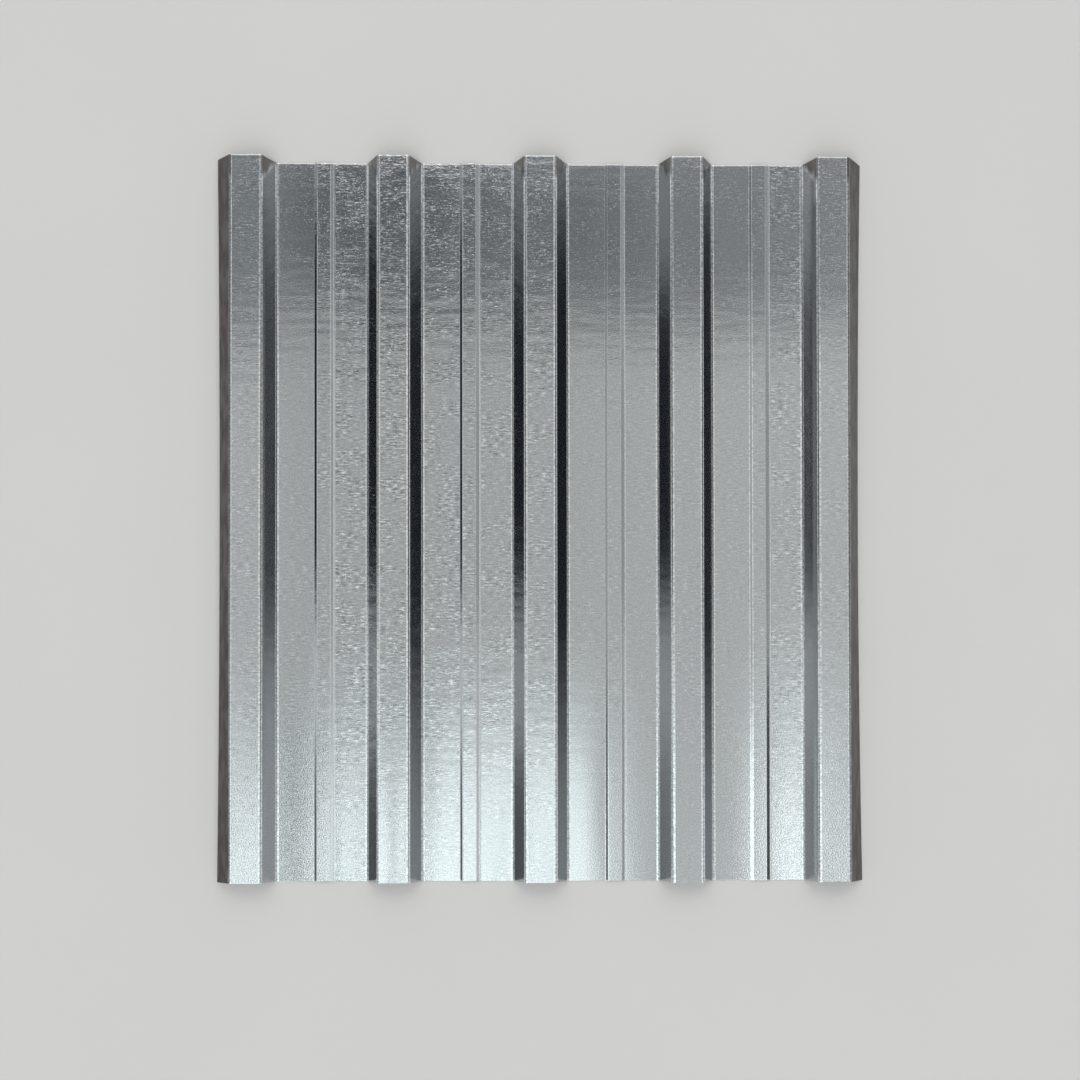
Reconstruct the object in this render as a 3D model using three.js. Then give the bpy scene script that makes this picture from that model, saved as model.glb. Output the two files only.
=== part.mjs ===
// Box-rib roofing sheet: one length of thin zinc-coated steel strip, roll-formed across its width
// into five raised ribs with four flat pans between them, and a shallow stiffener along each pan.
// Millimetres. +X runs across the ribs, +Y along them and +Z up. The sheet lies on its pans, with
// the origin on the floor under the middle of its overall width and length.

import * as THREE from 'three';

// The strip
const sheetLength = 890;
const sheetThickness = 0.6;

// Ribs, measured on the middle of the strip's thickness. A module is one rib and one pan
const ribCount = 5;
const moduleWidth = 180;
const ribRise = 25;
const crownWidth = 38;
const webRun = 14.5;
const ribBendRadius = 4.5;

// Stiffeners, one low bead along each pan, a little to the right of the pan's middle. The bead's
// right side is gentler than its left and eases into the pan
const stiffenerOffset = 2.6;
const stiffenerWidth = 24.5;
const stiffenerRise = 1.5;
const stiffenerLeftRun = 3.4;
const stiffenerRightRun = 4.8;
const stiffenerBendRadius = 1.5;
const stiffenerEaseRadius = 8;

// Lap legs, the free edges of the two outer ribs
const shortLegRun = 15.5;
const shortLegStop = 8;
const fullLegRun = 15.8;
const fullLegStop = 0;

// The legs stand out further at the cut ends, where the rolled strip has sprung open
const legSpread = 4;

// Facets
const lengthSteps = 6;
const bendFacetAngle = THREE.MathUtils.degToRad(17);

const panLevel = sheetThickness / 2;
const crownLevel = panLevel + ribRise;

const zincCoatedSteel = new THREE.MeshStandardMaterial({
  color: 0xb4b9bb,
  roughness: 0.35,
  metalness: 1,
});

// A corner of the strip's middle line. A free edge has no bend radius.
function corner(x, z, insideRadius = 0) {
  return { point: new THREE.Vector2(x, z), insideRadius };
}

function ribCentre(index) {
  return (index - (ribCount - 1) / 2) * moduleWidth;
}

// The side of a rib that falls to the pan on its left (side -1) or right (side 1), crown corner first.
function webCorners(centre, side) {
  const crownEdge = centre + (side * crownWidth) / 2;
  return [
    corner(crownEdge, crownLevel, ribBendRadius),
    corner(crownEdge + side * webRun, panLevel, ribBendRadius),
  ];
}

// The side of an outer rib that ends in a free edge, crown corner first.
function legCorners(centre, side, run, stop) {
  const crownEdge = centre + (side * crownWidth) / 2;
  return [
    corner(crownEdge, crownLevel, ribBendRadius),
    corner(crownEdge + side * run, panLevel + stop),
  ];
}

function stiffenerCorners(panCentre) {
  const middle = panCentre + stiffenerOffset;
  const leftFoot = middle - stiffenerWidth / 2;
  const rightFoot = middle + stiffenerWidth / 2;
  const top = panLevel + stiffenerRise;
  return [
    corner(leftFoot, panLevel, stiffenerBendRadius),
    corner(leftFoot + stiffenerLeftRun, top, stiffenerBendRadius),
    corner(rightFoot - stiffenerRightRun, top, stiffenerBendRadius),
    corner(rightFoot, panLevel, stiffenerEaseRadius),
  ];
}

// The strip's middle line from the short leg on the left to the full leg on the right.
function middleLine() {
  const lastRib = ribCount - 1;
  const corners = legCorners(ribCentre(0), -1, shortLegRun, shortLegStop).reverse();
  for (let rib = 0; rib < lastRib; rib += 1) {
    corners.push(...webCorners(ribCentre(rib), 1));
    corners.push(...stiffenerCorners(ribCentre(rib) + moduleWidth / 2));
    corners.push(...webCorners(ribCentre(rib + 1), -1).reverse());
  }
  corners.push(...legCorners(ribCentre(lastRib), 1, fullLegRun, fullLegStop));
  return corners;
}

function leftNormal(direction) {
  return new THREE.Vector2(-direction.y, direction.x);
}

// One bend on one face of the strip: an arc about the bend's own centre. The offset is the face's
// distance to the left of the middle line.
function bendArc(before, bend, after, offset) {
  const incoming = bend.point.clone().sub(before.point).normalize();
  const outgoing = after.point.clone().sub(bend.point).normalize();
  const turn = Math.atan2(incoming.cross(outgoing), incoming.dot(outgoing));
  const turnSide = Math.sign(turn);
  const middleRadius = bend.insideRadius + sheetThickness / 2;
  const tangentLength = middleRadius * Math.tan(Math.abs(turn) / 2);
  const centre = bend.point.clone()
    .addScaledVector(incoming, -tangentLength)
    .addScaledVector(leftNormal(incoming), turnSide * middleRadius);
  const facets = Math.ceil(Math.abs(turn) / bendFacetAngle);
  const origin = new THREE.Vector2();
  const points = [];
  for (let facet = 0; facet <= facets; facet += 1) {
    const normal = leftNormal(incoming).rotateAround(origin, (turn * facet) / facets);
    points.push(centre.clone().addScaledVector(normal, offset - turnSide * middleRadius));
  }
  return points;
}

// The free edge of one face, square to the strip.
function edgePoint(edge, direction, offset) {
  return edge.point.clone().addScaledVector(leftNormal(direction.normalize()), offset);
}

// One face of the strip, from left to right.
function stripFace(corners, offset) {
  const last = corners.length - 1;
  const firstRun = corners[1].point.clone().sub(corners[0].point);
  const lastRun = corners[last].point.clone().sub(corners[last - 1].point);
  const points = [edgePoint(corners[0], firstRun, offset)];
  for (let index = 1; index < last; index += 1) {
    points.push(...bendArc(corners[index - 1], corners[index], corners[index + 1], offset));
  }
  points.push(edgePoint(corners[last], lastRun, offset));
  return points;
}

function sectionShape() {
  const corners = middleLine();
  const upperFace = stripFace(corners, sheetThickness / 2);
  const lowerFace = stripFace(corners, -sheetThickness / 2);
  return new THREE.Shape([...upperFace, ...lowerFace.reverse()]);
}

// Swings the free legs outward about their crown bends. The swing grows with depth below the
// crown, and with the square of the distance from mid-length.
function spreadLegs(geometry) {
  const position = geometry.getAttribute('position');
  const outerBend = ribCentre(ribCount - 1) + crownWidth / 2;
  for (let index = 0; index < position.count; index += 1) {
    const x = position.getX(index);
    if (Math.abs(x) > outerBend) {
      const depth = Math.max(crownLevel - position.getZ(index), 0) / ribRise;
      const endward = position.getY(index) / (sheetLength / 2);
      position.setX(index, x + Math.sign(x) * legSpread * depth * endward ** 2);
    }
  }
}

function buildSheet() {
  const geometry = new THREE.ExtrudeGeometry(sectionShape(), {
    depth: sheetLength,
    steps: lengthSteps,
    bevelEnabled: false,
  });
  // The section stands up in XZ and its length runs along Y, half to each side of the origin.
  geometry.rotateX(Math.PI / 2);
  geometry.translate(0, sheetLength / 2, 0);
  spreadLegs(geometry);
  geometry.computeBoundingBox();
  const { min, max } = geometry.boundingBox;
  geometry.translate(-(min.x + max.x) / 2, 0, 0);
  geometry.computeVertexNormals();
  const sheet = new THREE.Mesh(geometry, zincCoatedSteel);
  sheet.name = 'corrugated_sheet';
  return sheet;
}

const part = new THREE.Group();
part.add(buildSheet());

export default part;
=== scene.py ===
"""A box-rib roofing sheet of roll-formed, zinc-coated steel, lying on its pans on a pale studio
floor.

Metres. +X runs across the ribs from the short lap leg to the full one, +Y along the ribs and +Z up.
The origin is on the floor under the middle of the sheet's overall width and length.
"""

import math
from functools import partial

import bpy
import numpy as np
from bpy.props import FloatProperty, FloatVectorProperty, IntProperty, PointerProperty
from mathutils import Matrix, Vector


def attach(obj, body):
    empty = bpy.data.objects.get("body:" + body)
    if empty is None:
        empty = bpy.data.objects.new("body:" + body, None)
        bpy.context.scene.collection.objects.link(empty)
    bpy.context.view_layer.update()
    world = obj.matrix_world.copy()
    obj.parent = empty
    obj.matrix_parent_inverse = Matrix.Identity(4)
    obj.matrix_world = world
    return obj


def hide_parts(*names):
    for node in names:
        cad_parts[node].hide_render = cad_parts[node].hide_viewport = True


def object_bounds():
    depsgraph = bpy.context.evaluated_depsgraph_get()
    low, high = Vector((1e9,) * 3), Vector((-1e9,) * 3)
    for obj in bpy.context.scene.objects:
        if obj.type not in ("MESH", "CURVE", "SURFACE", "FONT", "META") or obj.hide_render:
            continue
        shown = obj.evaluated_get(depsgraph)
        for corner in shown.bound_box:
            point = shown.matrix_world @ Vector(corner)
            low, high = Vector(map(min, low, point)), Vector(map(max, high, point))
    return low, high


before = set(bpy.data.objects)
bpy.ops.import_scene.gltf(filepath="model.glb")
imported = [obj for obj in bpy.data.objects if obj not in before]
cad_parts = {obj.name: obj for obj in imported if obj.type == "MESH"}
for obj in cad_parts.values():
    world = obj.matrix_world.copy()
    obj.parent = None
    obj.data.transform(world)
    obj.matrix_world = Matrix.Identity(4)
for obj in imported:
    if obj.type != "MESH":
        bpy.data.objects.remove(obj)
CAD_LOW, CAD_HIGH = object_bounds()

bl_info = {
    "name": "Box-rib roofing sheet",
    "version": (1, 0, 0),
    "blender": (4, 5, 0),
    "location": "View3D > Sidebar > Roofing sheet",
    "description": "A roll-formed, zinc-coated steel sheet and a studio to see it in",
    "category": "Add Mesh",
}

MM = 0.001
SHEET_NODE = "corrugated_sheet"
STRIP_MAP = "strip"
RIPPLE_ATTRIBUTE = "ripple"
PAINTED_DARK_ATTRIBUTE = "painted_dark"
BURNISH_HIGHLIGHT_ATTRIBUTE = "burnish_highlight"

# How far each flat has bowed between its bends, in millimetres, from left to right. A crown has
# sunk and a pan has risen. A pan has one flat on each side of its stiffener.
CROWN_BOWS = (0.05, 0.26, 0.20, 0.10, 0.05)
PAN_BOWS = ((0.04, 0.08), (0.15, 0.12), (0.18, 0.08), (0.06, 0.05))
# Along the sheet a bow swings by this share of itself, once in this length, and each flat's swing
# is this many radians ahead of that of the flat on its left.
BOW_SWING = 0.3
BOW_SWING_LENGTH = 340 * MM
BOW_SWING_STEP = 2.4
# How strongly the rolls have rippled each flat. The ribs' sides and the bends came out smooth.
CROWN_RIPPLES = (0.50, 0.90, 0.70, 0.28, 0.35)
PAN_RIPPLES = ((0.30, 1.00), (0.85, 0.75), (0.25, 0.25), (0.25, 0.65))
STIFFENER_RIPPLES = (0.65, 0.75, 0.30, 0.35)
STIFFENER_SIDE_RIPPLE = 0.12
WEB_RIPPLE = 0.0
# How much painted dark reflection the ribs' sides carry: a dark colour in place of the dark
# surroundings that the mirror-like zinc would reflect there. The free legs carry it in full, and
# the other sides a trace of it.
WEB_PAINTED_DARK = 0.15
LEG_PAINTED_DARK = 1.0
# A wedge of the same painted dark reflection lies at the far end of the ribs' sides. Its ragged
# edge lies a foot's reach from the end at the pans and a crown's reach more under the crowns, plus
# 0 to 1 times the raggedness. Past the edge it deepens over a fade.
END_PAINTED_DARK = 0.9
END_FOOT_REACH = -3 * MM
END_CROWN_REACH = 28 * MM
END_RAGGEDNESS = 20 * MM
END_FADE = 14 * MM
# How bright the bends' burnish is, with a painted highlight in it: a lighter zinc colour along
# each bend. The left side of the fourth stiffener carries the strongest burnish and painted
# highlight.
RIB_BURNISH_HIGHLIGHT = 0.85
STIFFENER_LEFT_BURNISH_HIGHLIGHTS = (0.2, 0.25, 0.25, 1.2)
STIFFENER_RIGHT_BURNISH_HIGHLIGHT = 0.25
# The shear has rolled the upper face over at the two cut ends.
ROLLOVER_WIDTH = 0.9 * MM
ROLLOVER_DROP = 0.14 * MM

# The zinc's patterns are noises, with values of about 0.25 to 0.75. A pattern's size is that of
# its patches, across the sheet and along it. The four numbers of a change are the two values of a
# noise, or distances, between which it happens, and what it goes from and to. An edge is a change
# from nothing to full.
#
# How much a pattern's finer detail counts
PATTERN_ROUGHNESS = 0.55
# Rippling comes in weaker and stronger patches, and is calm for some way before the near end.
PATCH_SIZE = (45 * MM, 28 * MM)
PATCH_CHANGE = (0.30, 0.70, 0.45, 1.35)
NEAR_END_CHANGE = (30 * MM, 280 * MM, 0.35, 1.0)
# What is left of the waves' height and of the pits where nothing is rippled
LEAST_WAVES = 0.3
LEAST_PITS = 0.1
PIT_EDGE = (0.69, 0.80)
# The ripples' crests get a painted glint, a lighter zinc colour, and their troughs a painted dark
# reflection, a darker one.
CREST_EDGE = (0.59, 0.67)
CREST_PAINTED_GLINT = 0.62
TROUGH_EDGE = (0.46, 0.34)
TROUGH_PAINTED_DARKENING = -0.32
# Crystals differ a little in how much light they return.
GRAIN_CHANGE = (0.28, 0.72, 0.86, 1.04)
# The burnish and painted highlight on a bend are brighter in some places than in others.
RUB_HIGHLIGHT_SIZE = (4 * MM, 3 * MM)
RUB_HIGHLIGHT_CHANGE = (0.38, 0.62, 0.15, 0.75)
# The painted dark reflection is blotched, with its blotches drawn out along the sheet.
BLOTCH_SIZE = (9 * MM, 30 * MM)
BLOTCH_CHANGE = (0.32, 0.68, 0.86, 0.97)
# The roughness of clean zinc, and what each mark adds to it
ZINC_ROUGHNESS = 0.08
CREST_ROUGHNESS = 0.06
PIT_ROUGHNESS = 0.16
PAINTED_DARK_ROUGHNESS = 0.28

# The studio's dome of light. A direction in it has a lean, in degrees from straight up towards +X,
# and a run, in degrees towards +Y. A brightness of 1 is white. A tint is an sRGB hex colour.
BRIGHTEST = 2.4
# Overhead, by run: a soft box past each end of the sheet, and between them a grey ceiling with a
# dark strip on its far side
CEILING = (
    (-90, 1.25, "FFFFFF"),
    (-24, 1.25, "FFFFFF"),
    (-12, 1.05, "FFFFFF"),
    (-5, 0.82, "F8FDFF"),
    (2, 0.60, "FCFFFF"),
    (16.2, 0.55, "FDFFFF"),
    (19.1, 0.24, "F4FCFF"),
    (22.4, 0.22, "F4FAFF"),
    (24.4, 0.34, "F4FAFF"),
    (27.6, 1.25, "FFFFFF"),
    (90, 1.25, "FFFFFF"),
)
# Cards that hang in front of the ceiling, each over those before it. A card has four soft edges,
# given as where the edge begins and where it ends: the card fades in over a lean, out over a lean,
# in over a run and out over a run. None leaves that side open. Then come its brightness and tint.
CARDS = (
    # The ceiling is a little brighter towards the right
    ((-12.0, 16.0), None, None, (16.2, 19.1), 0.66, "FCFFFF"),
    # Two lighter panels and a darker one in the dark strip
    ((-1.0, 2.5), (14.0, 17.0), (16.2, 19.0), (20.0, 24.0), 0.24, "F8FCFF"),
    ((3.0, 9.0), (13.0, 17.0), (16.0, 20.0), (24.0, 28.0), 0.33, "F8FCFF"),
    ((-9.5, -8.0), (-4.0, -1.5), (18.0, 20.0), (23.5, 26.0), 0.17, "F4FAFF"),
    # Lighter panels on the left, in the ceiling and in its dark strip
    ((-30.0, -26.0), (-11.4, -10.6), (-2.0, 3.0), (14.5, 17.5), 0.68, "FCFEFF"),
    ((-18.0, -14.0), (-11.4, -10.6), (15.0, 18.0), (24.0, 28.0), 0.32, "F4FCFF"),
    # The window over the near end, with the beam, the dark bar and the grey bar that cross it, and
    # beside it a bright narrow pane, a small window on the right and another on the left
    ((-14.4, -13.2), (2.4, 4.4), None, (-7.5, 4.4), 1.80, "F2FEFF"),
    ((-2.6, -1.6), (0.8, 1.8), None, (-5.5, 0.0), 1.40, "F2FEFF"),
    ((-11.1, -10.6), (-9.2, -8.8), None, (-2.0, 5.5), 0.18, "FFFFFF"),
    ((-6.3, -5.9), (-5.1, -4.6), None, (1.0, 6.0), 0.48, "F8FEFF"),
    ((10.7, 11.1), (12.4, 12.8), None, (-7.0, 6.0), 2.40, "F2FEFF"),
    ((22.0, 26.0), (30.0, 33.0), None, (-4.0, 2.0), 1.25, "F2FEFF"),
    ((-41.0, -39.0), (-27.0, -23.0), None, (-3.0, 3.0), 1.70, "F2FEFF"),
    # Light strips along both sides of the ceiling
    ((14.0, 17.0), (21.0, 24.0), (-14.0, -10.0), (24.0, 28.0), 0.85, "FCFEFF"),
    ((-28.0, -24.0), (-18.0, -14.0), (12.0, 16.0), (24.0, 28.0), 0.68, "FCFEFF"),
    # The ceiling's dim outer parts, two on the left and three on the right
    ((-46.0, -44.0), (-42.0, -40.0), (-14.0, -10.0), (15.5, 19.0), 0.47, "FCFEFF"),
    ((-46.5, -45.0), (-43.0, -41.5), (-12.0, -9.0), (0.0, 4.0), 0.10, "FFFFFF"),
    ((22.5, 27.5), (47.0, 49.0), (3.0, 6.0), (14.0, 18.0), 0.43, "FCFEFF"),
    ((37.0, 43.0), (47.0, 49.0), (-12.0, -9.0), (1.0, 5.0), 0.06, "F4FAFF"),
    ((24.0, 28.0), (47.0, 49.0), (14.5, 18.5), (24.0, 28.0), 0.44, "FCFEFF"),
    # The left wall, a light patch on it, its two black flags, and the dim part past their near end
    (None, (-47.0, -45.0), (-18.0, -13.0), (24.0, 30.0), 0.50, "F8FDFF"),
    (None, (-47.0, -45.0), (-1.5, 0.5), (3.5, 6.0), 0.74, "F8FDFF"),
    ((-82.0, -78.0), (-47.5, -45.5), (4.4, 7.4), (17.5, 20.5), 0.03, "C8DCFF"),
    ((-64.0, -57.0), (-47.5, -45.5), (12.0, 16.0), (20.0, 23.5), 0.03, "C8DCFF"),
    ((-67.0, -62.0), (-48.5, -46.0), (-13.0, -9.0), (-2.5, 0.5), 0.20, "F0F8FF"),
    # The right wall, its two black flags, and the light part low on its near side
    ((46.0, 48.0), None, (-18.0, -13.0), (24.0, 30.0), 0.55, "F4FAFF"),
    ((47.0, 48.5), (68.0, 82.0), (-6.0, 6.0), (17.5, 24.0), 0.03, "D0E0FF"),
    ((47.0, 48.5), (57.0, 66.0), (8.0, 12.0), (19.5, 25.0), 0.03, "D0E0FF"),
    ((67.0, 69.5), None, (-18.0, -13.0), (0.0, 7.0), 0.80, "F4FAFF"),
)
# Low down the dome is the same all round: a pale horizon with a grey band over it. The two heights,
# as the dome's z, are where each begins to fade into what lies above it and where it has gone.
HORIZON_HEIGHTS = (0.24, 0.29)
HORIZON = 0.74
BAND_HEIGHTS = (0.42, 0.62)
BAND = 0.55

# The camera stands a little to the left of the sheet's middle and towards its near end, and hangs a
# fraction of a degree out of true. The turn is in degrees.
CAMERA_PLACE = (-24.4 * MM, -266.5 * MM)
CAMERA_TURN = (0.557, -0.797, -0.071)
LENS_SHIFT = 0.17

# What makes a Map Range node change slowly at both ends
SOFTLY = {"interpolation_type": "SMOOTHSTEP"}


def linear(hex_colour):
    """An sRGB hex colour, such as "B4B9BB", as linear red, green and blue."""
    channels = [int(hex_colour[start:start + 2], 16) / 255 for start in (0, 2, 4)]
    return [c / 12.92 if c <= 0.04045 else ((c + 0.055) / 1.055) ** 2.4 for c in channels]


class SheetSection(bpy.types.PropertyGroup):
    """The rolled section. Its sizes are those of the middle of the strip's thickness."""

    thickness: FloatProperty(
        name="Thickness", description="Thickness of the steel strip",
        default=0.6 * MM, unit="LENGTH",
    )
    rib_count: IntProperty(name="Ribs", description="Number of raised ribs", default=5, min=2)
    module_width: FloatProperty(
        name="Module width", description="Width of one rib and one pan",
        default=180 * MM, unit="LENGTH",
    )
    crown_width: FloatProperty(
        name="Crown width", description="Width of a rib's top between its bend lines",
        default=38 * MM, unit="LENGTH",
    )
    web_run: FloatProperty(
        name="Web run", description="How far a rib's side leans out on its way down",
        default=14.5 * MM, unit="LENGTH",
    )
    rib_bend_radius: FloatProperty(
        name="Rib bend radius", description="Inside radius of the ribs' bends",
        default=4.5 * MM, unit="LENGTH",
    )
    stiffener_offset: FloatProperty(
        name="Stiffener offset",
        description="How far the bead lies to the right of its pan's middle",
        default=2.6 * MM, unit="LENGTH",
    )
    stiffener_width: FloatProperty(
        name="Stiffener width", description="Width of the low bead in each pan",
        default=24.5 * MM, unit="LENGTH",
    )
    stiffener_rise: FloatProperty(
        name="Stiffener rise", description="Height of the bead above its pan",
        default=1.5 * MM, unit="LENGTH",
    )
    stiffener_left_run: FloatProperty(
        name="Stiffener left side", description="Width of the bead's steeper side",
        default=3.4 * MM, unit="LENGTH",
    )
    stiffener_right_run: FloatProperty(
        name="Stiffener right side", description="Width of the bead's gentler side",
        default=4.8 * MM, unit="LENGTH",
    )
    stiffener_bend_radius: FloatProperty(
        name="Stiffener bend radius", description="Inside radius of three of the bead's bends",
        default=1.5 * MM, unit="LENGTH",
    )
    stiffener_ease_radius: FloatProperty(
        name="Stiffener ease radius",
        description="Radius by which the bead's gentler side eases into the pan",
        default=8 * MM, unit="LENGTH",
    )
    short_leg_run: FloatProperty(
        name="Short leg run", description="How far the left lap leg leans out",
        default=15.5 * MM, unit="LENGTH",
    )
    short_leg_stop: FloatProperty(
        name="Short leg stop", description="How far above the pans the left leg ends",
        default=8 * MM, unit="LENGTH",
    )
    full_leg_run: FloatProperty(
        name="Full leg run", description="How far the right lap leg leans out",
        default=15.8 * MM, unit="LENGTH",
    )
    # A trace less than the solid's 4 mm, so that the sheet stays inside the solid's box
    leg_spread: FloatProperty(
        name="Leg spread", description="How much further the legs stand out at the cut ends",
        default=3.97 * MM, unit="LENGTH",
    )


class SheetSurface(bpy.types.PropertyGroup):
    """The zinc coating and the marks that rolling and use have left in it."""

    zinc_colour: FloatVectorProperty(
        name="Zinc", description="Colour that the bright zinc coating reflects",
        subtype="COLOR", size=3, default=linear("CED0D1"),
    )
    # The dark colour of the painted dark reflection on the free legs and the ribs' sides
    painted_dark_colour: FloatVectorProperty(
        name="Stain", description="Colour of the dark storage stain on the free legs",
        subtype="COLOR", size=3, default=linear("504C49"),
    )
    wave_spacing: FloatProperty(
        name="Wave spacing", description="Distance along the sheet between two broad waves",
        default=14 * MM, unit="LENGTH",
    )
    wave_length: FloatProperty(
        name="Wave length", description="Length of a broad wave across the sheet",
        default=60 * MM, unit="LENGTH",
    )
    wave_height: FloatProperty(
        name="Wave height", description="Height of the broad waves",
        default=0.18 * MM, unit="LENGTH",
    )
    ripple_spacing: FloatProperty(
        name="Ripple spacing", description="Distance along the sheet between two ripples",
        default=1.8 * MM, unit="LENGTH",
    )
    ripple_length: FloatProperty(
        name="Ripple length", description="Length of a ripple across the sheet",
        default=8 * MM, unit="LENGTH",
    )
    ripple_height: FloatProperty(
        name="Ripple height", description="Height of the strongest ripples",
        default=0.058 * MM, unit="LENGTH",
    )
    pit_size: FloatProperty(
        name="Pit size", description="Width of the small dull pits in the zinc",
        default=3.2 * MM, unit="LENGTH",
    )
    pit_depth: FloatProperty(
        name="Pit depth", description="Depth of the pits", default=0.045 * MM, unit="LENGTH"
    )
    grain_size: FloatProperty(
        name="Grain", description="Size of the zinc's crystal grains",
        default=1.7 * MM, unit="LENGTH",
    )
    grain_height: FloatProperty(
        name="Grain height", description="Height of the grain", default=0.03 * MM, unit="LENGTH"
    )


class StudioSettings(bpy.types.PropertyGroup):
    """The pale floor, and the camera above it."""

    floor_size: FloatProperty(
        name="Floor size", description="Width of the floor", default=40.0, unit="LENGTH"
    )
    camera_height: FloatProperty(
        name="Camera height", description="Height of the camera above the floor",
        default=1.64, unit="LENGTH",
    )
    lens: FloatProperty(name="Lens", description="Focal length in millimetres", default=44.13)


def add_node(tree, kind, inputs=(), **settings):
    """Adds a shader node. settings are its properties. inputs is a row of values for its first
    sockets, or maps a socket's name or number to a value. A value can also be an output socket, or
    a node, which stands for the first of its outputs that is in use."""
    node = tree.nodes.new("ShaderNode" + kind)
    for name, value in settings.items():
        setattr(node, name, value)
    for key, value in inputs.items() if isinstance(inputs, dict) else enumerate(inputs):
        if isinstance(value, bpy.types.Node):
            value = next(output for output in value.outputs if output.enabled)
        if isinstance(value, bpy.types.NodeSocket):
            tree.links.new(value, node.inputs[key])
        else:
            node.inputs[key].default_value = value
    return node


# ------------------------------------------------------------------------------------------- shape


def section_corners(section, rise):
    """The middle line's corners from left to right, as rows of x, z and inside bend radius."""
    half_crown = section.crown_width / 2
    crown_edge = (half_crown, rise, section.rib_bend_radius)
    web = [crown_edge, (half_crown + section.web_run, 0, section.rib_bend_radius)]
    short_leg = [crown_edge, (half_crown + section.short_leg_run, section.short_leg_stop, 0)]
    full_leg = [crown_edge, (half_crown + section.full_leg_run, 0, 0)]
    left_foot = section.stiffener_offset - section.stiffener_width / 2
    right_foot = left_foot + section.stiffener_width
    bead_top, bead_bend = section.stiffener_rise, section.stiffener_bend_radius
    bead = [
        (left_foot, 0, bead_bend),
        (left_foot + section.stiffener_left_run, bead_top, bead_bend),
        (right_foot - section.stiffener_right_run, bead_top, bead_bend),
        (right_foot, 0, section.stiffener_ease_radius),
    ]

    def moved(points, middle):
        return [(middle + x, z, radius) for x, z, radius in points]

    def mirrored(points):
        return [(-x, z, radius) for x, z, radius in reversed(points)]

    first_rib = -(section.rib_count - 1) / 2 * section.module_width
    corners = moved(mirrored(short_leg), first_rib)
    for pan in range(section.rib_count - 1):
        rib = first_rib + pan * section.module_width
        corners += moved(web, rib)
        corners += moved(bead, rib + section.module_width / 2)
        corners += moved(mirrored(web), rib + section.module_width)
    corners += moved(full_leg, -first_rib)
    return np.array(corners)


def strip_headings(corners, thickness):
    """Distances along the strip at which its flats and bends begin and end, and the headings there.

    A bend that turns by t on a middle radius r takes r tan(t/2) off the flat on each side of it and
    is r t long. The heading stays the same along a flat and turns evenly along a bend.
    """
    runs = np.diff(corners[:, :2], axis=0)
    headings = np.arctan2(runs[:, 1], runs[:, 0])
    turns = np.abs(np.diff(headings))
    radii = corners[1:-1, 2] + thickness / 2
    trims = np.concatenate(([0], radii * np.tan(turns / 2), [0]))
    lengths = np.empty(2 * len(runs) - 1)
    lengths[0::2] = np.hypot(runs[:, 0], runs[:, 1]) - trims[:-1] - trims[1:]
    lengths[1::2] = radii * turns
    return np.concatenate(([0], np.cumsum(lengths))), np.repeat(headings, 2)


def strip_stations(breaks, turns):
    """Distances along the strip to sample: a bend at even steps of turn, and a flat at even steps
    of length with one extra station close to each of its ends, so that its shading stays flat."""
    facet_turn = math.radians(8)
    flat_step = 9 * MM
    edge_step = 0.5 * MM
    stations = [breaks[:1]]
    for part, (start, end) in enumerate(zip(breaks[:-1], breaks[1:])):
        if part % 2:
            count = max(2, math.ceil(turns[part // 2] / facet_turn))
            stations.append(np.linspace(start, end, count + 1)[1:])
        else:
            count = max(1, math.ceil((end - start) / flat_step))
            inner = np.linspace(start + edge_step, end - edge_step, count + 1)
            stations.append(np.append(inner, end))
    return np.concatenate(stations)


def length_stations(length):
    """Places along the sheet to sample: evenly, and closer together towards its two cut ends."""
    even_step = 7.5 * MM
    end_distances = np.array([0, 0.15, 0.4, 0.9, 1.8, 3.2, 5]) * MM
    inner_half = length / 2 - end_distances[-1]
    middle = np.linspace(-inner_half, inner_half, math.ceil(2 * inner_half / even_step) + 1)
    near_end = end_distances[:-1] - length / 2
    return np.concatenate((near_end, middle, -near_end[::-1]))


def flat_marks(rib_count):
    """The bow (upward, in metres), the ripple and the share of painted dark reflection of each
    flat, from left to right.
    """
    leg = (0, WEB_RIPPLE, LEG_PAINTED_DARK)
    web = (0, WEB_RIPPLE, WEB_PAINTED_DARK)
    bead_side = (0, STIFFENER_SIDE_RIPPLE, 0)
    marks = [leg]
    for rib in range(rib_count):
        marks.append((-CROWN_BOWS[rib] * MM, CROWN_RIPPLES[rib], 0))
        if rib < rib_count - 1:
            bows, ripples = PAN_BOWS[rib], PAN_RIPPLES[rib]
            left, right = ((bow * MM, ripple, 0) for bow, ripple in zip(bows, ripples))
            bead_top = (0, STIFFENER_RIPPLES[rib], 0)
            marks += [web, left, bead_side, bead_top, bead_side, right, web]
    marks.append(leg)
    return np.array(marks).T


def bend_burnish_highlights(rib_count):
    """How strong the burnish and painted highlight of each bend are, from left to right."""
    burnish_highlights = [RIB_BURNISH_HIGHLIGHT]
    for left_side in STIFFENER_LEFT_BURNISH_HIGHLIGHTS[:rib_count - 1]:
        bead = [left_side, left_side, STIFFENER_RIGHT_BURNISH_HIGHLIGHT, STIFFENER_RIGHT_BURNISH_HIGHLIGHT]
        burnish_highlights += [RIB_BURNISH_HIGHLIGHT, RIB_BURNISH_HIGHLIGHT, *bead, RIB_BURNISH_HIGHLIGHT, RIB_BURNISH_HIGHLIGHT]
    return np.array(burnish_highlights + [RIB_BURNISH_HIGHLIGHT])


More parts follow.
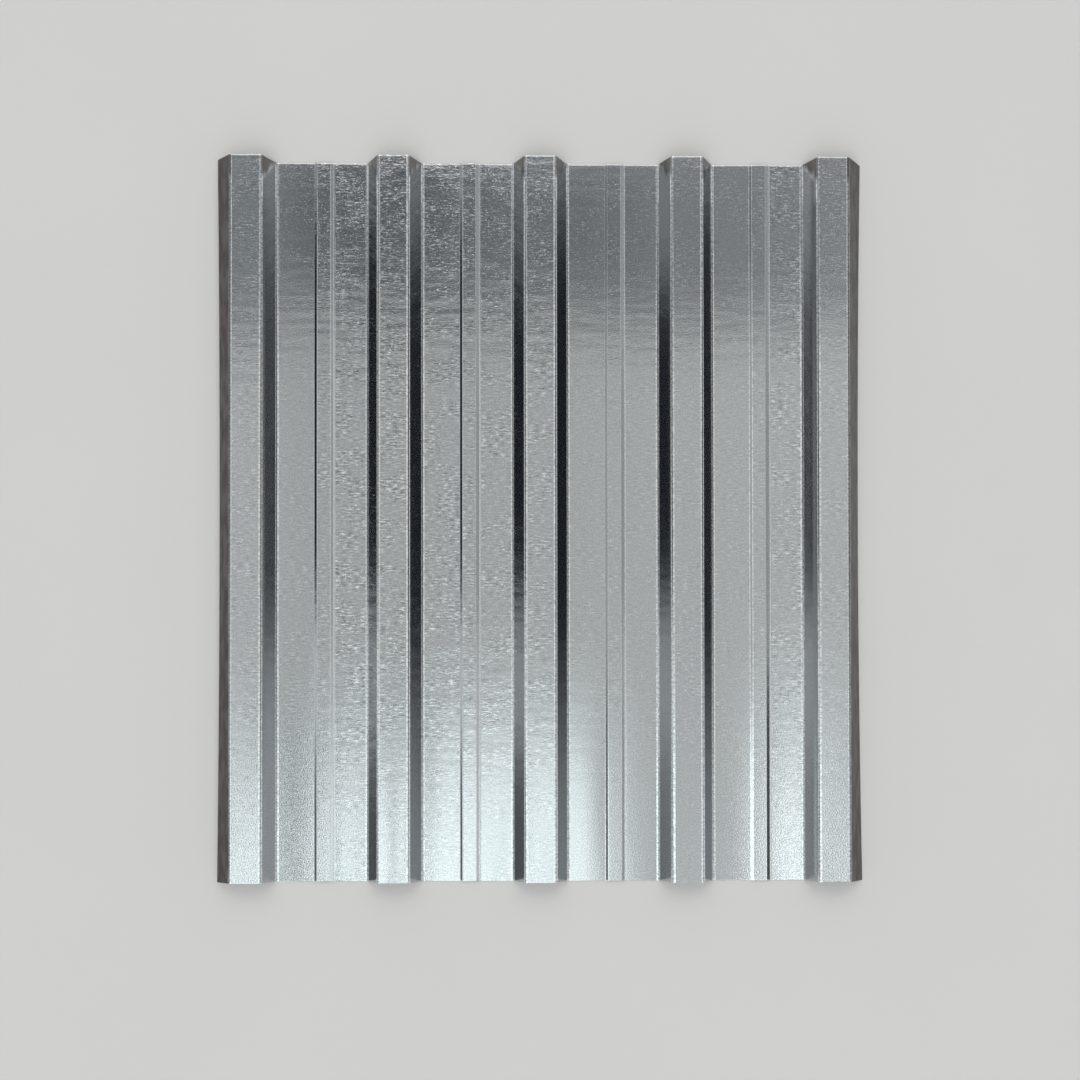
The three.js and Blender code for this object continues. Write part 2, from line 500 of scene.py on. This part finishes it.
def sheet_surface(section, length, rise):
    """The sheet's two faces as grids of points, with the strip map and the marks at each point.

    The two parameters are s, the distance along the strip's middle line, and y, the place along the
    sheet. The middle line starts at the left edge and adds, from station to station, a chord of
    length ds sinc(dh/2) at the mean heading, where dh is the turn between the two. Each flat then
    bows off its plane by b (1 - (2t - 1)^2) (1 - w + w sin), where t runs from 0 to 1 across it, w
    is the share of the bow that swings, and the sine runs along the sheet. Outside the outermost
    bends, x moves out by the leg's spread times its depth below the crown times the square of y
    over half the length. A face lies half the thickness off the middle line, and the upper one
    drops in a short parabola at each sheared end.

    The marks are the ripple, the painted dark reflection, and the burnish with its painted
    highlight. A flat has its own ripple and painted dark reflection all over. A bend has no ripple,
    its painted dark reflection runs evenly from one flat's to the next one's, and only a bend
    carries the burnish and painted highlight.
    """
    corners = section_corners(section, rise)
    breaks, break_headings = strip_headings(corners, section.thickness)
    s = strip_stations(breaks, np.abs(np.diff(break_headings[0::2])))
    y = length_stations(length)

    headings = np.interp(s, breaks, break_headings)
    turn = np.diff(headings)
    chord = np.diff(s) * np.sinc(turn / (2 * np.pi))
    mean_heading = headings[:-1] + turn / 2
    x = corners[0, 0] + np.concatenate(([0], np.cumsum(chord * np.cos(mean_heading))))
    z = corners[0, 1] + np.concatenate(([0], np.cumsum(chord * np.sin(mean_heading))))
    normal_x, normal_z = -np.sin(headings), np.cos(headings)

    part = np.clip(np.searchsorted(breaks, s, side="left") - 1, 0, len(breaks) - 2)
    flat = part // 2
    across = (s - breaks[part]) / (breaks[part + 1] - breaks[part])
    on_flat = part % 2 == 0
    bows, ripples, flat_painted_darks = flat_marks(section.rib_count)
    bow = np.where(on_flat, bows[flat] * (1 - (2 * across - 1) ** 2), 0)
    ripple = np.where(on_flat, ripples[flat], 0)
    next_flat = np.where(on_flat, flat, flat + 1)
    painted_dark = flat_painted_darks[flat] * (1 - across) + flat_painted_darks[next_flat] * across
    burnish_highlights = bend_burnish_highlights(section.rib_count)
    on_bend = ~on_flat | np.isin(s, breaks[1:-1])
    burnish_highlight = np.where(on_bend, burnish_highlights[np.minimum(flat, len(burnish_highlights) - 1)], 0)

    swing = np.sin(2 * np.pi * y / BOW_SWING_LENGTH + BOW_SWING_STEP * flat[:, None])
    lift = bow[:, None] * (1 - BOW_SWING + BOW_SWING * swing)
    outermost = (section.rib_count - 1) / 2 * section.module_width + section.crown_width / 2
    depth = np.clip((rise - z) / rise, 0, None)
    spread = section.leg_spread * (np.abs(x) > outermost) * np.sign(x) * depth
    middle_x = x[:, None] + lift * normal_x[:, None] + spread[:, None] * (2 * y / length) ** 2
    middle_z = section.thickness / 2 + z[:, None] + lift * normal_z[:, None]

    from_end = length / 2 - np.abs(y)
    rollover = ROLLOVER_DROP * np.clip(1 - from_end / ROLLOVER_WIDTH, 0, None) ** 2
    faces = []
    for offset in (section.thickness / 2 - rollover, np.full_like(y, -section.thickness / 2)):
        face_x = middle_x + normal_x[:, None] * offset
        face_z = middle_z + normal_z[:, None] * offset
        faces.append(np.stack((face_x, np.broadcast_to(y, face_x.shape), face_z), axis=-1))
    faces = np.array(faces)
    faces[..., 0] -= (faces[..., 0].min() + faces[..., 0].max()) / 2
    strip_map = np.stack(np.broadcast_arrays(s[:, None], y + length / 2), axis=-1)
    grid = np.ones_like(middle_x)
    marks = {RIPPLE_ATTRIBUTE: ripple, PAINTED_DARK_ATTRIBUTE: painted_dark, BURNISH_HIGHLIGHT_ATTRIBUTE: burnish_highlight}
    return faces, strip_map, {name: values[:, None] * grid for name, values in marks.items()}


def closed_grid(rows, columns):
    """Quads of a closed sheet whose upper and lower faces are two grids of points, and how many of
    the quads, at the end of the list, are the cut edges between the faces."""
    upper = np.arange(rows * columns).reshape(rows, columns)
    lower = upper + rows * columns

    def quads(a, b, c, d):
        return np.stack((a, b, c, d), axis=-1).reshape(-1, 4)

    top = quads(upper[:-1, :-1], upper[1:, :-1], upper[1:, 1:], upper[:-1, 1:])
    bottom = quads(lower[:-1, :-1], lower[:-1, 1:], lower[1:, 1:], lower[1:, :-1])
    left = quads(upper[0, :-1], upper[0, 1:], lower[0, 1:], lower[0, :-1])
    right = quads(upper[-1, 1:], upper[-1, :-1], lower[-1, :-1], lower[-1, 1:])
    near = quads(upper[:-1, 0], lower[:-1, 0], lower[1:, 0], upper[1:, 0])
    far = quads(upper[1:, -1], lower[1:, -1], lower[:-1, -1], upper[:-1, -1])
    edges = np.concatenate((left, right, near, far))
    return np.concatenate((top, bottom, edges)), len(edges)


def sheet_mesh(section, length, rise):
    """The closed mesh of the sheet, smooth over its bends and sharp at its cut edges. Its two faces
    share one strip map, which holds s and the distance from the near end, and the same marks."""
    sharp_angle = math.radians(50)
    faces, strip_map, marks = sheet_surface(section, length, rise)
    quads, edge_count = closed_grid(*faces.shape[1:3])
    mesh = bpy.data.meshes.new("roofing_sheet")
    mesh.from_pydata(faces.reshape(-1, 3), [], quads)
    places = strip_map.reshape(-1, 2)
    corner_places = places[quads.ravel() % len(places)]
    mesh.uv_layers.new(name=STRIP_MAP).uv.foreach_set(
        "vector", corner_places.astype(np.float32).ravel()
    )
    for name, values in marks.items():
        attribute = mesh.attributes.new(name, "FLOAT", "POINT")
        attribute.data.foreach_set("value", np.tile(values.ravel(), 2).astype(np.float32))
    cut_edge = np.zeros(len(quads), np.int32)
    cut_edge[-edge_count:] = 1
    mesh.polygons.foreach_set("material_index", cut_edge)
    mesh.polygons.foreach_set("use_smooth", np.ones(len(quads), bool))
    mesh.set_sharp_from_angle(angle=sharp_angle)
    return mesh


# ---------------------------------------------------------------------------------------- finishes


def empty_material(name):
    """A material without nodes, and the function that adds one to it."""
    material = bpy.data.materials.new(name)
    material.use_nodes = True
    material.node_tree.nodes.clear()
    return material, partial(add_node, material.node_tree)


def hot_dip_zinc(surface):
    """Bright zinc on steel strip that was dipped in the molten metal and then rolled to shape.

    The coating is nearly a mirror, so what the eye sees is its relief: broad shallow waves, the
    ripples that the forming rolls pressed across the strip, a few small dull pits and the grain of
    the zinc's crystals. Painted light goes into the zinc's colour on top of the relief: painted
    glints on the ripples' crests, painted dark reflections in their troughs, and along the bends a
    burnish with a painted highlight, brighter in some places than in others. A painted dark
    reflection, blotched and rough enough to blur the mirror, covers the free legs, lies in a wedge
    at the far ends of the ribs' sides and as a trace on the rest of them. Ripples, pits and grain
    are drawn coarser than real ones, which would be too fine to show.
    """
    material, add = empty_material("hot_dip_zinc_on_rolled_steel")
    strip = add("UVMap", uv_map=STRIP_MAP)
    rippled, painted_dark_mark, burnish_highlight_mark = (
        add("Attribute", attribute_name=name).outputs["Fac"]
        for name in (RIPPLE_ATTRIBUTE, PAINTED_DARK_ATTRIBUTE, BURNISH_HIGHLIGHT_ATTRIBUTE)
    )

    def pattern(across, along, detail, shift=0.0):
        """A noise over the strip map. Its shift keeps it from lining up with other patterns."""
        place = add(
            "Mapping",
            {"Vector": strip, "Location": (shift, shift, 0), "Scale": (1 / across, 1 / along, 1)},
        )
        return add(
            "TexNoise",
            {"Vector": place, "Scale": 1.0, "Detail": detail, "Roughness": PATTERN_ROUGHNESS},
            noise_dimensions="2D",
        )

    # How strong the rippling is from place to place
    patches = pattern(*PATCH_SIZE, detail=1.0, shift=3.0)
    patches = add("MapRange", (patches, *PATCH_CHANGE), **SOFTLY)
    from_near_end = add("SeparateXYZ", (strip,)).outputs["Y"]
    calming = add("MapRange", (from_near_end, *NEAR_END_CHANGE), **SOFTLY)
    strength = add("Math", (rippled, patches), operation="MULTIPLY")
    strength = add("Math", (strength, calming), operation="MULTIPLY")

    # The relief. Pits are half as long as they are wide.
    waves = pattern(surface.wave_length, surface.wave_spacing, detail=1.0, shift=5.0)
    least_waves = LEAST_WAVES * surface.wave_height
    wave_height = add(
        "Math", (rippled, surface.wave_height - least_waves, least_waves), operation="MULTIPLY_ADD"
    )
    wave_height = add("Math", (wave_height, calming), operation="MULTIPLY")
    ripple = pattern(surface.ripple_length, surface.ripple_spacing, detail=2.0)
    ripple_height = add("Math", (strength, surface.ripple_height), operation="MULTIPLY")
    specks = pattern(surface.pit_size, surface.pit_size / 2, detail=1.0, shift=11.0)
    pits = add("MapRange", (specks, *PIT_EDGE), **SOFTLY)
    pitted = add("Math", (strength, 1 - LEAST_PITS, LEAST_PITS), operation="MULTIPLY_ADD")
    pits = add("Math", (pits, pitted), operation="MULTIPLY")
    grain = pattern(surface.grain_size, surface.grain_size, detail=1.0, shift=7.0)
    height = add("Math", (grain, surface.grain_height), operation="MULTIPLY")
    reliefs = ((waves, wave_height), (ripple, ripple_height), (pits, -surface.pit_depth))
    for relief, amount in reliefs:
        height = add("Math", (relief, amount, height), operation="MULTIPLY_ADD")
    bump = add("Bump", {"Height": height, "Distance": 1.0, "Strength": 1.0})

    # Where the painted glints and painted dark reflections go: the ripples' crests and troughs, as
    # strong as the rippling
    crests = add("MapRange", (ripple, *CREST_EDGE), **SOFTLY)
    crests = add("Math", (crests, strength), operation="MULTIPLY")
    troughs = add("MapRange", (ripple, *TROUGH_EDGE), **SOFTLY)
    troughs = add("Math", (troughs, strength), operation="MULTIPLY")

    # The painted dark reflection: how far past its edge at the far end a place lies, only on the
    # ribs' sides
    blotches = pattern(*BLOTCH_SIZE, detail=4.0, shift=9.0)
    _, along, up = add("SeparateXYZ", (add("TexCoord").outputs["Object"],)).outputs
    past_edge = add(
        "Math", (up, END_CROWN_REACH / CAD_HIGH.z, END_FOOT_REACH - CAD_HIGH.y),
        operation="MULTIPLY_ADD",
    )
    past_edge = add("Math", (blotches, END_RAGGEDNESS, past_edge), operation="MULTIPLY_ADD")
    past_edge = add("Math", (past_edge, along), operation="ADD")
    end_painted_dark = add("MapRange", (past_edge, 0.0, END_FADE, 0.0, END_PAINTED_DARK), **SOFTLY)
    on_sides = add("MapRange", (painted_dark_mark, 0.0, WEB_PAINTED_DARK), **SOFTLY)
    end_painted_dark = add("Math", (end_painted_dark, on_sides), operation="MULTIPLY")
    painted_dark = add("Math", (painted_dark_mark, end_painted_dark), operation="MAXIMUM")
    blotching = add("MapRange", (blotches, *BLOTCH_CHANGE), **SOFTLY)
    painted_dark = add("Math", (painted_dark, blotching), operation="MULTIPLY")

    roughness = ZINC_ROUGHNESS
    for mark, amount in (
        (crests, CREST_ROUGHNESS), (pits, PIT_ROUGHNESS), (painted_dark, PAINTED_DARK_ROUGHNESS)
    ):
        roughness = add("Math", (mark, amount, roughness), operation="MULTIPLY_ADD")

    shade = add("MapRange", (grain, *GRAIN_CHANGE), **SOFTLY)
    rub_highlights = pattern(*RUB_HIGHLIGHT_SIZE, detail=2.0, shift=13.0)
    rub_highlights = add("MapRange", (rub_highlights, *RUB_HIGHLIGHT_CHANGE), **SOFTLY)
    # The zinc's shade: the grain's random tone, painted glints on the crests, painted dark
    # reflections in the troughs, and the bends' burnish with its painted highlight
    for mark, gain in ((crests, CREST_PAINTED_GLINT), (troughs, TROUGH_PAINTED_DARKENING), (burnish_highlight_mark, rub_highlights)):
        shade = add("Math", (mark, gain, shade), operation="MULTIPLY_ADD")
    zinc = add(
        "VectorMath", {0: tuple(surface.zinc_colour), "Scale": shade}, operation="SCALE"
    )
    # The painted dark reflection covers the zinc's colour with its dark colour, as far as it
    # reaches
    colour = add(
        "Mix", {0: painted_dark, 6: zinc, 7: (*surface.painted_dark_colour, 1.0)}, data_type="RGBA"
    )
    shader = add(
        "BsdfPrincipled",
        {"Base Color": colour, "Metallic": 1.0, "Roughness": roughness, "Normal": bump},
    )
    add("OutputMaterial", {"Surface": shader})
    return material


def sheared_steel():
    """The cut edge of the strip: bare steel, a little darker and duller than the zinc, with the
    broken grain that the shear's blade left. The grain is drawn nearly as coarse as the strip is
    thick, so that it shows."""
    grain_size = 0.5 * MM
    grain_height = 0.04 * MM
    material, add = empty_material("sheared_steel_edge")
    place = add("TexCoord").outputs["Object"]
    grain = add("TexNoise", {"Vector": place, "Scale": 1 / grain_size, "Detail": 2.0})
    shade = add("MapRange", {"Value": grain, "To Min": 0.75, "To Max": 1.1})
    steel = add("VectorMath", {0: linear("A3A3A1"), "Scale": shade}, operation="SCALE")
    bump = add("Bump", {"Height": grain, "Distance": grain_height, "Strength": 1.0})
    shader = add(
        "BsdfPrincipled",
        {"Base Color": steel, "Metallic": 1.0, "Roughness": 0.35, "Normal": bump},
    )
    add("OutputMaterial", {"Surface": shader})
    return material


def matt_floor_paint():
    """A rolled-on matt paint for the studio's floor: pale, with the faint, broad mottle that
    overlapping strokes of the roller leave."""
    mottle_size = 250 * MM
    material, add = empty_material("matt_floor_paint")
    place = add("TexCoord").outputs["Object"]
    mottle = add("TexNoise", {"Vector": place, "Scale": 1 / mottle_size, "Detail": 3.0})
    shade = add("MapRange", {"Value": mottle, "To Min": 0.985, "To Max": 1.015})
    paint = add("VectorMath", {0: linear("E3DFDD"), "Scale": shade}, operation="SCALE")
    shader = add("BsdfPrincipled", {"Base Color": paint, "Roughness": 0.8})
    add("OutputMaterial", {"Surface": shader})
    return material


# ------------------------------------------------------------------------------------------ studio


def build_dome():
    """Soft light from all round: the ceiling, the cards in front of it, and below them the band and
    the horizon."""
    world = bpy.data.worlds.new("studio_dome")
    world.use_nodes = True
    world.node_tree.nodes.clear()
    bpy.context.scene.world = world
    add = partial(add_node, world.node_tree)
    x, y, z = add("SeparateXYZ", (add("TexCoord").outputs["Generated"],)).outputs
    lean = add("Math", (add("Math", (x, z), operation="ARCTAN2"),), operation="DEGREES")
    run = add("Math", (add("Math", (y,), operation="ARCSINE"),), operation="DEGREES")

    def glow(brightness, tint="FFFFFF"):
        """The colour of a light, as a share of the brightest one."""
        return [channel * brightness / BRIGHTEST for channel in linear(tint)] + [1]

    def card_mask(lean_in, lean_out, run_in, run_out):
        """1 on a card and 0 beside it: the product of the fades at its edges."""
        edges = (
            (lean, lean_in, 0, 1), (lean, lean_out, 1, 0), (run, run_in, 0, 1), (run, run_out, 1, 0)
        )
        mask, *others = (
            add("MapRange", (value, *ends, before, after), **SOFTLY)
            for value, ends, before, after in edges
            if ends
        )
        for side in others:
            mask = add("Math", (mask, side), operation="MULTIPLY")
        return mask

    first_run, last_run = CEILING[0][0], CEILING[-1][0]
    ceiling = add("ValToRGB", (add("MapRange", (run, first_run, last_run)),))
    stops = ceiling.color_ramp.elements
    while len(stops) < len(CEILING):
        stops.new(0.5)
    for stop, (stop_run, brightness, tint) in zip(stops, CEILING):
        stop.position = (stop_run - first_run) / (last_run - first_run)
        stop.color = glow(brightness, tint)

    above_band = add("MapRange", (z, *BAND_HEIGHTS), **SOFTLY)
    light = add("Mix", {0: above_band, 6: glow(BAND), 7: ceiling}, data_type="RGBA")
    for *edges, brightness, tint in CARDS:
        card = glow(brightness, tint)
        light = add("Mix", {0: card_mask(*edges), 6: light, 7: card}, data_type="RGBA")
    above_horizon = add("MapRange", (z, *HORIZON_HEIGHTS), **SOFTLY)
    light = add("Mix", {0: above_horizon, 6: glow(HORIZON), 7: light}, data_type="RGBA")
    background = add("Background", {"Color": light, "Strength": BRIGHTEST})
    add("OutputWorld", {"Surface": background})


def build_floor(studio):
    """A flat square of floor just under the sheet."""
    half = studio.floor_size / 2
    drop = 0.4 * MM
    mesh = bpy.data.meshes.new("studio_floor")
    corners = [(x * half, y * half, -drop) for x, y in ((-1, -1), (1, -1), (1, 1), (-1, 1))]
    mesh.from_pydata(corners, [], [(0, 1, 2, 3)])
    mesh.materials.append(matt_floor_paint())
    floor = bpy.data.objects.new("studio_floor", mesh)
    bpy.context.scene.collection.objects.link(floor)


def build_camera(studio):
    """A camera above the sheet that looks straight down. Its lens is shifted to take in the far
    end."""
    data = bpy.data.cameras.new("studio_camera")
    data.sensor_width = 36.0
    data.lens = studio.lens
    data.shift_y = LENS_SHIFT
    data.clip_start, data.clip_end = 0.05, 100.0
    camera = bpy.data.objects.new("studio_camera", data)
    camera.location = (*CAMERA_PLACE, studio.camera_height)
    camera.rotation_euler = [math.radians(degrees) for degrees in CAMERA_TURN]
    bpy.context.scene.collection.objects.link(camera)
    bpy.context.scene.camera = camera


# --------------------------------------------------------------------------------------- operators


class SHEET_OT_add_sheet(bpy.types.Operator):
    """Add the roll-formed sheet with its coating and cut edges"""

    bl_idname = "sheet.add_sheet"
    bl_label = "Add roofing sheet"
    bl_options = {"REGISTER", "UNDO"}

    def execute(self, context):
        section = context.scene.sheet_section
        length = CAD_HIGH.y - CAD_LOW.y
        rise = CAD_HIGH.z - CAD_LOW.z - section.thickness
        mesh = sheet_mesh(section, length, rise)
        mesh.materials.append(hot_dip_zinc(context.scene.sheet_surface))
        mesh.materials.append(sheared_steel())
        sheet = bpy.data.objects.new("roofing_sheet", mesh)
        context.scene.collection.objects.link(sheet)
        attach(sheet, "root")
        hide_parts(SHEET_NODE)
        return {"FINISHED"}


class SHEET_OT_add_studio(bpy.types.Operator):
    """Add the floor, the dome of light and the camera"""

    bl_idname = "sheet.add_studio"
    bl_label = "Add studio"
    bl_options = {"REGISTER", "UNDO"}

    def execute(self, context):
        studio = context.scene.sheet_studio
        build_floor(studio)
        build_dome()
        build_camera(studio)
        context.scene.view_settings.view_transform = "Standard"
        return {"FINISHED"}


class SHEET_PT_panel(bpy.types.Panel):
    """The sheet's settings and operators"""

    bl_idname = "SHEET_PT_panel"
    bl_label = "Roofing sheet"
    bl_space_type = "VIEW_3D"
    bl_region_type = "UI"
    bl_category = "Roofing sheet"

    def draw(self, context):
        scene = context.scene
        for settings, operator in (
            (scene.sheet_section, None),
            (scene.sheet_surface, SHEET_OT_add_sheet.bl_idname),
            (scene.sheet_studio, SHEET_OT_add_studio.bl_idname),
        ):
            for name in settings.__annotations__:
                self.layout.prop(settings, name)
            if operator:
                self.layout.operator(operator)


SCENE_SETTINGS = {
    "sheet_section": SheetSection,
    "sheet_surface": SheetSurface,
    "sheet_studio": StudioSettings,
}
CLASSES = (*SCENE_SETTINGS.values(), SHEET_OT_add_sheet, SHEET_OT_add_studio, SHEET_PT_panel)


def register():
    for cls in CLASSES:
        bpy.utils.register_class(cls)
    for name, group in SCENE_SETTINGS.items():
        setattr(bpy.types.Scene, name, PointerProperty(type=group))


def unregister():
    for name in SCENE_SETTINGS:
        delattr(bpy.types.Scene, name)
    for cls in reversed(CLASSES):
        bpy.utils.unregister_class(cls)


def main():
    register()
    bpy.ops.sheet.add_sheet()
    bpy.ops.sheet.add_studio()


if __name__ == "__main__":
    main()
